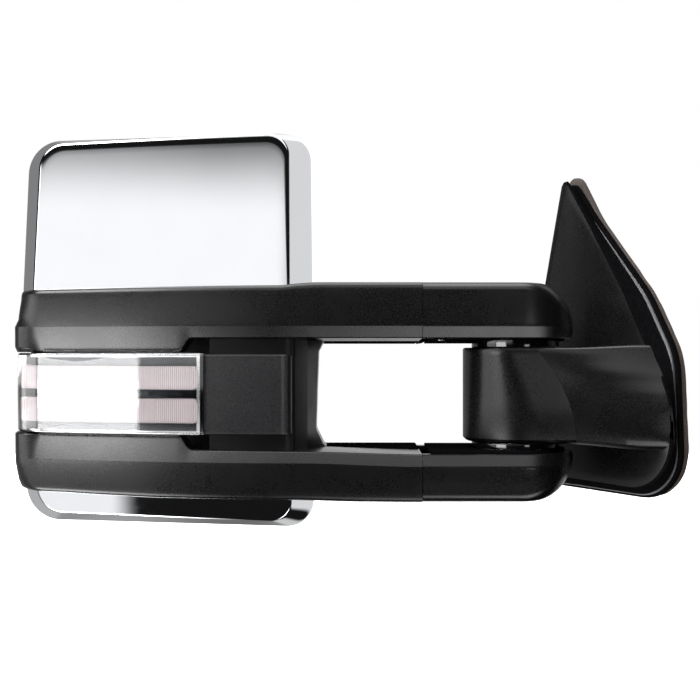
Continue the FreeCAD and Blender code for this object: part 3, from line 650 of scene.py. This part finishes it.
def cap_rows(upper):
    """Rows from the rear edge over the shoulder and bevel, then in across the front face."""
    outer = cap_edge(0, upper)
    face = cap_edge(1, upper)
    z_end = CAP_UPPER_END if upper else CAP_LOWER_END
    rows = []

    def shoulder_y(x):
        return lerp(2.0, 22.0, (HEAD_IN - x) / (HEAD_IN - HEAD_OUT))

    for k in range(7):
        t = k / 6
        rows.append([(x, lerp(CAP_REAR, shoulder_y(x) + 7, t), z) for x, z in outer])
    edge = []
    for (ox, oz), (fx, fz) in zip(outer, face):
        edge.append((Vector((ox, shoulder_y(ox), oz)), Vector((fx, face_y(fx, fz), fz))))
    # rounded shoulder, straight bevel, tight front edge
    for t, pull in ((0.0, 5.0), (0.02, 2.6), (0.06, 0.9), (0.12, 0.2)):
        rows.append([tuple(s.lerp(f, t) + Vector((0, pull, 0))) for s, f in edge])
    for t in (0.25, 0.4, 0.55, 0.7, 0.82, 0.9, 0.945):
        rows.append([tuple(s.lerp(f, t)) for s, f in edge])
    for t, sink in ((0.0, 0.55), (0.006, 0.22), (0.014, 0.06)):
        rows.append(face_ring(face, t, z_end, sink))
    for k in range(1, 31):
        rows.append(face_ring(face, 0.02 + 0.98 * (k / 30), z_end, 0.0))
    return rows


def face_ring(face, t, z_end, sink):
    """The face outline shrunk by t onto a line inside the band, set back by sink."""
    ring = []
    for i, (x, z) in enumerate(face):
        goal_x = lerp(-190.0, -322.0, i / (len(face) - 1))
        px = lerp(x, goal_x, t)
        pz = lerp(z, z_end, t)
        ring.append((px, face_y(px, pz) + sink, pz))
    return ring


def build_caps():
    for name, upper in (("upper_cap", True), ("lower_cap", False)):
        cap = skin(name + "_shell", cap_rows(upper), "bright_chrome", "head", WALL, flat_angle=50, flip=upper)
        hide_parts(name)


# ---- head: band and arms ---------------------------------------------------------------
def band_plan(x_start=SEAM_X - SEAM_HALF):
    """Plan line of the band's front face and outboard end, with inward normals."""
    bend = (-344.0, BAND_FRONT + 29)
    points = [(lerp(x_start, -150.0, k / 30), BAND_FRONT) for k in range(30)]
    points += arc_through((-150.0, BAND_FRONT), (-252.0, BAND_FRONT + 8.5), bend, 90)
    corner = (BAND_END, bend[1] + 8.44)
    for k in range(1, 31):
        t = k / 30
        points.append(tuple((1 - t) ** 2 * p + 2 * t * (1 - t) * q + t * t * r
                            for p, q, r in zip(bend, corner, (BAND_END, 10.0))))
    points += [(BAND_END, lerp(10.0, CAP_REAR, k / 8)) for k in range(1, 9)]
    stations = []
    for i, (x, y) in enumerate(points):
        a = Vector(points[max(0, i - 1)])
        b = Vector(points[min(len(points) - 1, i + 1)])
        along = (b - a).normalized()
        stations.append((x, y, along.y, -along.x))
    return stations


def fillet(points, steps=4):
    """Open line of (d, z, radius) points with its inner corners rounded."""
    out = [points[0][:2]]
    for i in range(1, len(points) - 1):
        p = Vector(points[i][:2])
        r = points[i][2]
        if r <= 0:
            out.append(tuple(p))
            continue
        a = (Vector(points[i - 1][:2]) - p)
        b = (Vector(points[i + 1][:2]) - p)
        half = a.angle(b) / 2
        reach = min(r / max(math.tan(half), 1e-6), a.length * 0.48, b.length * 0.48)
        start = p + a.normalized() * reach
        end = p + b.normalized() * reach
        for k in range(steps + 1):
            t = k / steps
            out.append(tuple(start.lerp(p, t).lerp(p.lerp(end, t), t)))
    out.append(points[-1][:2])
    return out


def band_top(x):
    """Top edge of the upper band and arm."""
    return curve(x, ((-372, 74.2), (-345, 74.8), (-263, 75.5), (-215, 75.8), (-171, 76.0), (-158, 77.3),
                     (-146, 78)))


def band_low(x):
    """Bottom edge of the lower band and arm."""
    return curve(x, ((-372, -73.2), (-330, -73.9), (-300, -74.7), (-262, -75.6), (-160, -76), (-115, -77.2),
                     (-72, -77.5)))


def crease_low(x):
    """Crease between the lower band's chamfer and its face."""
    return curve(x, ((-150, CREASE_LOW), (-80, -52.0)))


def edge_low(x):
    """Upper edge of the lower band and arm, inboard of the lamp."""
    return curve(x, ((-236, -41.0), (-150, -41.6), (-75, -43.6)))


def crown(t):
    """How far a face has rounded back at t from its crease to its far edge."""
    return 1.5 * t * t


FACE_STEPS = (0.12, 0.3, 0.5, 0.7)


def band_section(x, y, upper, end):
    """Band section at a station: d is the depth behind the plan line, end is 1 round the outboard end."""
    lamp = smooth((-235.5 - x) / 11.0)
    depth = 42.0 if x > HEAD_IN else lerp(42.0, 20.0, smooth((HEAD_IN - x) / 10.0))
    if y > 22:
        depth = lerp(20.0, 6.0, smooth((y - 22) / 4))
    drop = 1.8 if x > HEAD_IN else 0.0
    flare = end * 2.2
    if upper:
        top, crease = band_top(x), CREASE_UP
        inner, inner_d = lerp(38.4, 28.4, lamp), lerp(lerp(3.4, 6.8, lamp), 1.0, end)
        face = [(crown(t) + flare * (1 + t), lerp(crease + 2.5 * end, top, t), 0) for t in FACE_STEPS]
        return fillet([
            (depth, top - 0.6, 0),
            (crown(1.0) + flare * 1.6, top, lerp(7.0, 12.0, end)),
            *reversed(face),
            (0.0, crease, 0.8),
            (lerp(inner_d, 0.1, end), lerp(lerp(crease, inner, 0.93), lerp(crease, inner, 0.8), end), 1.2),
            (inner_d + 0.8, inner, 0.8),
            (depth, inner - drop, 0),
        ])
    low, crease = band_low(x), crease_low(x)
    inner, inner_d = lerp(edge_low(x), -30.6, lamp), lerp(lerp(3.4, 6.8, lamp), 1.2, end)
    face = [(crown(t) + flare * t * 1.4, lerp(crease, low, t), 0) for t in FACE_STEPS]
    return fillet([
        (depth, inner + drop * 0.2, 0),
        (inner_d + 0.8, inner, 0.8),
        (lerp(inner_d, 0.3, end), lerp(crease, inner, 0.93), 1.2),
        (flare * 0.2, crease, 0.8),
        *face,
        (crown(1.0) + flare * 1.8, low, lerp(5.0, 15.0, end)),
        (depth, low + 0.5, 0),
    ])


def build_bands():
    stations = band_plan()
    for side, upper in (("upper", True), ("lower", False)):
        rows = []
        for x, y, nx, ny in stations:
            end = smooth((-350.0 - x) / 20.0)
            section = band_section(x, y, upper, end)
            rows.append([(x + nx * d, y + ny * d, z) for d, z in section])
        band = skin(side + "_band_shell", rows, "textured_black", "head", BAND_WALL, flat_angle=28)
        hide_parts(side + "_band")


# ---- arm end covers -----------------------------------------------------------------------
def end_profile(side, turn, x):
    """Outline (r, z) of an end cover at a turn of 0 front to 180 rear degrees."""
    w = math.sin(math.radians(turn)) ** 1.6
    rear = smooth(turn / 180.0)
    upper = side == "upper"
    sign = 1 if upper else -1
    top = lerp(78.0, 76.2, rear) if upper else lerp(-77.5, -76.0, rear)
    wide = lerp(lerp(6.5, 8.0, rear), 27.0 if upper else 29.0, w)
    tall = lerp(lerp(6.5, 8.0, rear), 33.0 if upper else 30.0, w)
    ramp = smooth((-58.0 - x) / 12.0) if upper else 0.0
    inner = 38.4 - 3.8 * ramp * rear if upper else -43.6
    z_side = top - sign * tall
    crease = sign * min(CREASE_UP if upper else 52.0, abs(z_side) - 0.6)
    chamfer = lerp(3.4, 0.8, max(w, rear))
    lean = crown(1.0) * (1 - w)
    points = [(32.8, inner), (ARM_R - chamfer - 1.0, inner), (ARM_R - chamfer, inner + 0.6 * sign)]
    for t in (0.3, 0.6, 0.9):
        points.append((lerp(ARM_R - chamfer, ARM_R, t), lerp(inner + 0.6 * sign, crease, t)))
    for t in (0.0, 0.12, 0.35, 0.7):
        points.append((ARM_R - lean * t * t, lerp(crease, z_side, t)))
    steps = 12
    for k in range(steps + 1):
        a = math.radians(90 * k / steps)
        points.append((ARM_R - lean - wide + wide * math.cos(a), z_side + sign * tall * math.sin(a)))
    last = points[-1][0]
    for t in (0.25, 0.5, 0.75, 1.0):
        points.append((last * (1 - t), top))
    return points


def build_end_covers():
    for side in ("upper", "lower"):
        rows = []
        xs = [lerp(SEAM_X + SEAM_HALF, 0, k / 20) for k in range(20)]
        for x in xs:
            rows.append([(x, -r, z) for r, z in end_profile(side, 0, x)])
        for k in range(37):
            turn = 5.0 * k
            a = math.radians(turn)
            rows.append([(r * math.sin(a), -r * math.cos(a), z) for r, z in end_profile(side, turn, 0)])
        for x in reversed(xs):
            rows.append([(x, r, z) for r, z in end_profile(side, 180, x)])
        cover = skin(side + "_end_shell", rows, "textured_black", "arm", BAND_WALL, flat_angle=28,
                     flip=(side == "lower"))
        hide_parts(side + "_end_cover")


# ---- lamp -----------------------------------------------------------------------------------
def lamp_plan(inset, x_in=LAMP_IN, y_out=23.5):
    """Plan stations of the lamp, from its inboard edge round the end, inset from the band."""
    out = []
    for x, y, nx, ny in band_plan():
        px, py = x + nx * inset, y + ny * inset
        if px <= x_in and py <= y_out:
            out.append((px, py, nx, ny))
    return out


def build_lens():
    """Clear cover, slightly crowned, with returns at its top and bottom."""
    top, low = LAMP_TOP + 1.0, LAMP_LOW - 0.4
    section = fillet([(5.0, top, 0), (0.4, top, 1.6), (0.0, (top + low) / 2, 30), (0.4, low, 1.6),
                      (5.0, low, 0)])
    rows = [[(x + nx * d, y + ny * d, z) for d, z in section] for x, y, nx, ny in lamp_plan(2.0)]
    lens = skin("lamp_lens_shell", rows, "clear_lens", "head", 1.8, flat_angle=40)
    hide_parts("lamp_lens")


def build_light_guides():
    """Ribbed pale pink blocks with a rounded inboard end."""
    for name, z0, z1 in (("upper_light_guide", 1.6, 18.4), ("lower_light_guide", -22.2, -4.6)):
        stations = lamp_plan(4.8, LAMP_IN - 4.5, 17.0)
        fine = []
        for (xa, ya, nxa, nya), (xb, yb, nxb, nyb) in zip(stations, stations[1:]):
            for k in range(8):
                t = k / 8
                fine.append((lerp(xa, xb, t), lerp(ya, yb, t), lerp(nxa, nxb, t), lerp(nya, nyb, t)))
        rows = []
        length = 0.0
        last = None
        for x, y, nx, ny in fine:
            if last is not None:
                length += math.hypot(x - last[0], y - last[1])
            last = (x, y)
            rib = 1.1 * math.sqrt(abs(math.sin(math.pi * length / RIB_PITCH)))
            ease = 1 - max(0.0, 1 - length / 4.5) ** 2
            half = (z1 - z0) / 2 * lerp(0.42, 1.0, math.sqrt(ease))
            top, low = (z0 + z1) / 2 + half, (z0 + z1) / 2 - half
            section = fillet([(5.5, top, 0), (1.1 - rib, top, 1.6), (1.1 - rib, low, 1.6), (5.5, low, 0)], 3)
            rows.append([(x + nx * d, y + ny * d, z) for d, z in section])
        guide = skin(name + "_ribs", rows, "pink_guide", "head", 1.2, flat_angle=60)
        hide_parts(name)


# ---- panel and recess beside the lamp -----------------------------------------------------
def build_side_panel():
    """Square panel between the lamp and the recess, with a rounded inboard edge."""
    stations = [st for st in band_plan() if LAMP_IN - 0.9 <= st[0] <= PANEL_IN - 5.2]
    section = fillet([(7.0, 27.0, 0), (0.0, 26.9, 1.3), (0.0, -29.8, 1.3), (7.0, -29.9, 0)], 4)
    rows = []
    for x, y, nx, ny in reversed(stations):
        rows.append([(x + nx * (4.4 + d), y + ny * (4.4 + d), z) for d, z in section])
    x0, y0 = PANEL_IN - 5.0, BAND_FRONT + 4.5
    for k in range(9):
        a = math.radians(90 * k / 8)
        x, y = x0 + 5.0 * math.sin(a), y0 + 5.0 - 5.0 * math.cos(a)
        rows.append([(x - math.sin(a) * d * 0.6, y + math.cos(a) * d, z) for d, z in section])
    # down the inboard side; the top and bottom returns stay inside the face
    rows.append([(PANEL_IN - (3.6 if abs(z) > 29.85 or z > 26.95 else 0.0), BAND_FRONT + 13.5, z)
                 for x, y, z in rows[-1]])
    panel = skin("side_panel_shell", rows, "textured_black", "head", 2.0, flat_angle=32,
                 material=moulded_black("panel_black", 0.011, (0.34, 0.42), 1000, 0.00004))
    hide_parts("side_panel")


def opening_edge(z):
    """Outboard edge of the window between the arms, cut back at its corners."""
    return curve(z, ((-43, -138.5), (-38.5, -142.5), (-28, -147.2), (0, -146.4), (29, -145.4), (33.5, -143.0),
                     (38, -141.0)))


def build_centre_bezel():
    """Recessed plate behind the panel and the curved wall down to the window."""
    plate = [(x + nx * 12, y + ny * 12) for x, y, nx, ny in band_plan() if LAMP_IN <= x <= PANEL_IN - 3]
    plate.reverse()
    rows = []
    for k in range(41):
        z = lerp(-43.5, 40.0, k / 40)
        edge = opening_edge(z)
        wall = fillet([(PANEL_IN - 2, -30.0, 0), (PANEL_IN + 1.4, -30.0, 2.2), (-153.0, -13.0, 9.0),
                       (edge, 2.0, 5.0), (edge, 25.0, 1.5), (edge - 5.0, 27.0, 0)], 6)
        rows.append([(x, y, z) for x, y in plate + wall])
    bezel = skin("centre_bezel_shell", rows, "plain_black", "head", 2.0, flat_angle=40)
    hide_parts("centre_bezel")


# ---- base: barrel, neck and sail ----------------------------------------------------------
def door_point(u, t, z):
    """A point given along the door (u), out from the pivot to the door (t) and in height (z)."""
    c, s = math.cos(TURN), math.sin(TURN)
    return (t * c + u * s, t * s - u * c, z)


SAIL = [(-25, 180, 8), (5, 133, 160), (60, 71, 90), (86, 26, 60), (91, -78.5, 36), (-84, -78.5, 16)]
SAIL_CENTRE = (2.0, 10.0)
RIM_STEPS = ((80.0, 0.0), (79.2, -0.15), (77.0, -0.12), (76.2, 0.2), (75.8, 0.8), (75.4, 2.2), (75.0, 3.8))
EDGE_STEPS = ((66.4, 0.2), (65.2, 0.5), (64.5, 1.3), (64.2, 2.6))
# the sail polygons beyond this depth get the painted shade black
FLANGE_FROM = 64.28                     # the flange is what lies nearer the door than this
COVER_RIM = [(-24.3, 171, 8)] + SAIL[1:]
COVER_FACE = [(-17.5, 168, 4), (8, 132, 60), (46, 76, 60), (89.5, -1, 50), (96, -72.5, 40), (-79, -72, 12)]


def seam_x(z):
    """Curved seam between the barrel cover and the neck."""
    return 38.5 - 14.0 * ((z + 38.0) / 48.0) ** 2


SEAM_INDEX = 22                         # the point of neck_ring's front line on the seam
TANGENT = 119.1                         # bearing on the barrel where the rear of the neck leaves it


def neck_ring(z, inset):
    """Front and rear plan lines of barrel and neck at height z."""
    r = BARREL_R - inset
    reach = lerp(51.6, 28.2, (z + 37.0) / 68.7)
    front = []
    for k in range(17):
        a = math.radians(90 * k / 16)
        front.append((-r + reach * (1 - math.cos(a)), -r * math.sin(a)))
    split = max(seam_x(z), front[-1][0] + 1.0)
    reach_u = curve(z, ((-41, 93.0), (-28, 94.5), (-12, 91.6), (-3, 88.6), (11, 82.6), (27, 73.6),
                        (34, 69.0)))
    corner = door_point(reach_u - inset - 0.6, 65.6, 0)
    lean = 2.6 * max(0.0, (-8.0 - z) / 26.0) ** 2
    for k in range(1, 7):
        front.append((lerp(front[16][0], split, k / 6), lerp(-r, -r + 1.2, k / 6)))
    for k in range(1, 13):
        front.append((lerp(split, corner[0], k / 12), lerp(-r + 1.2, corner[1], k / 12)))
    front = [(x, y + lean * max(0.0, -y / r)) for x, y in front]
    rear = []
    for k in range(1, 9):
        a = math.radians(180 - (180 - TANGENT) * k / 8)
        rear.append((r * math.cos(a), r * math.sin(a)))
    back = door_point(-40 + inset, 70, 0)
    for k in range(1, 13):
        rear.append((lerp(-0.486 * r, back[0], k / 12), lerp(0.874 * r, back[1], k / 12)))
    return front, rear


def neck_levels():
    """(height, inset) rows from the top opening down to the bottom opening."""
    top, low = 31.7, -37.0
    levels = [(top, 2.2), (top - 0.25, 0.9), (top - 0.8, 0.25), (top - 1.7, 0.0)]
    for k in range(1, 19):
        levels.append((lerp(top - 1.7, low + 3.2, k / 18), 0.0))
    levels += [(low + 1.8, 1.2), (low + 0.8, 2.4), (low + 0.2, 3.8), (low, 5.5)]
    return levels


def build_neck():
    """Barrel cover outboard of the curved seam, neck of the sail cover inboard of it."""
    barrel_rows, neck_rows = [], []
    for z, inset in neck_levels():
        front, rear = neck_ring(z, inset)
        barrel = list(reversed(front[:SEAM_INDEX + 1])) + rear[:12]
        neck = front[SEAM_INDEX:]
        barrel_rows.append([(x, y, z) for x, y in barrel])
        stretch = []
        for x, y in neck:
            far = smooth((x - 30) / 60)
            spread = (2.3 if z > 0 else -3.8) * far * abs(z) / 35
            stretch.append((x + 0.25, y, z + spread))
        neck_rows.append(stretch)
    cover = skin("barrel_cover_shell", close_to_bore(barrel_rows), "textured_black", "base", WALL, flat_angle=30)
    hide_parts("barrel_cover")
    return neck_rows


def close_to_bore(rows):
    """Adds the flat rings from the cover's edges in to the pivot bore."""
    def inner(row):
        out = []
        for x, y, z in row:
            d = math.hypot(x, y)
            out.append((x / d * BORE_R, y / d * BORE_R, z))
        return out

    return [inner(rows[0])] + rows + [inner(rows[-1])]


def behind_front(rows):
    """The rows, with nothing forward of the bands' front face."""
    return [[(x, max(y, BAND_FRONT + 0.1), z) for x, y, z in row] for row in rows]


def outline_uz(corners, count):
    """Evenly spaced (u, z) outline of a rounded polygon on the door."""
    return resample(corner_path(corners, 10), count, closed=True)


def build_sail(neck_rows):
    """Sail: rim against the door, sloping flange, rounded edge, then the face closing on its centre."""
    face = outline_uz(COVER_FACE, 200)
    rim = outline_uz(COVER_RIM, 200)
    centre = SAIL_CENTRE
    rows = []

    def toward(points, amount):
        out = []
        for u, z in points:
            d = Vector((centre[0] - u, centre[1] - z))
            d.normalize()
            out.append((u + d.x * amount, z + d.y * amount))
        return out

    for t, amount in RIM_STEPS:
        rows.append([door_point(u, t, z) for u, z in toward(rim, amount)])
    for t in (0.3, 0.6):
        middle = [(lerp(ru, fu, t), lerp(rz, fz, t)) for (ru, rz), (fu, fz) in zip(rim, face)]
        rows.append([door_point(u, lerp(75.5, 66.5, t), z) for u, z in toward(middle, 1.0)])
    for t, amount in EDGE_STEPS:
        rows.append([door_point(u, t, z) for u, z in toward(face, amount)])
    for k in range(1, 13):
        t = k / 12
        bow = 64.2 - 0.8 * math.sin(t * math.pi / 2)
        rows.append([door_point(lerp(u, centre[0], t), bow, lerp(z, centre[1], t))
                     for u, z in toward(face, EDGE_STEPS[-1][1])])
    sail = skin("sail_cover_shell", behind_front(rows), "textured_black", "base", WALL,
                wrap_cols=True, flat_angle=32)
    neck = skin("sail_neck_shell", behind_front(neck_rows), "textured_black", "base", WALL, flat_angle=30)
    # the flange round the rim gets the black with no reflection: painted shade for the shadowed gap between the
    # cover and the gasket
    sail.data.materials.append(painted_shade_black())
    across = Vector(door_point(0, 1, 0)).normalized()
    origin = at(0, 0, 0)
    for face_poly in sail.data.polygons:
        if (face_poly.center - origin).dot(across) > FLANGE_FROM * MM:
            face_poly.material_index = 1
    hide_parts("sail_cover")
    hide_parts("sail_cover")


def build_gasket():
    """Foam ring whose cut edge stands a little proud all round the sail."""
    section = ((13, 80.1), (1.2, 80.1), (0.35, 80.7), (0.05, 82), (0.0, 83.5), (0.1, 85), (0.7, 85.8), (13, 85.9))
    rows = []
    for u, z in outline_uz(SAIL, 220):
        d = Vector((SAIL_CENTRE[0] - u, SAIL_CENTRE[1] - z)).normalized()
        wave = 0.45 * noise.noise(Vector((u, z, 0)) * 0.09)
        rows.append([door_point(u + d.x * (depth + 0.5 + wave), t, z + d.y * (depth + 0.5 + wave))
                     for depth, t in section])
    gasket = skin("door_gasket_ring", rows, "gasket_foam", "base", 0,
                  wrap_rows=True, wrap_cols=True, flat_angle=50)
    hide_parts("door_gasket")


# ---- CAD pieces that keep their own shape -----------------------------------------------
def painted_shade_black():
    """Rough black with no reflection at all, painted shade for the recesses and hidden undersides."""
    if "painted_shade_black" in bpy.data.materials:
        return bpy.data.materials["painted_shade_black"]
    shade_black = moulded_black("painted_shade_black", 0.003, (0.5, 0.6))
    # no specular reflection at all, so these parts render black as painted shade
    shade_black.node_tree.nodes["Principled BSDF"].inputs["Specular IOR Level"].default_value = 0.0
    return shade_black


def finish_cad_nodes():
    """Materials for every CAD node, and slightly rounded edges where they show."""
    shade_black = painted_shade_black()
    slots = {part["node"]: part["material_slot"] for part in frame["record"]["subparts"]}
    rounded = ("side_panel", "glass_bezel", "main_glass_tray", "spotter_tray", "centre_bezel",
               "upper_collar", "lower_collar", "upper_arm_rear_shroud", "lower_arm_rear_shroud")
    for name, obj in frame["nodes"].items():
        # end plates and rear shrouds get the painted shade black for their shadowed recesses
        material = shade_black if name.endswith(("end_plate", "rear_shroud")) else MATERIALS[slots[name]]
        if not obj.material_slots:
            obj.data.materials.append(material)
        for place in obj.material_slots:
            place.material = material
        if name in rounded:
            weld = obj.modifiers.new("weld", "WELD")
            weld.merge_threshold = 1e-5
            bevel(obj, 0.6, 2, 38)


bpy.context.scene.view_settings.view_transform = "Standard"
add_camera()
add_world()
add_stage()
add_lights()
finish_cad_nodes()
build_caps()
build_bands()
build_end_covers()
build_lens()
build_light_guides()
build_side_panel()
build_centre_bezel()
build_sail(build_neck())
build_gasket()
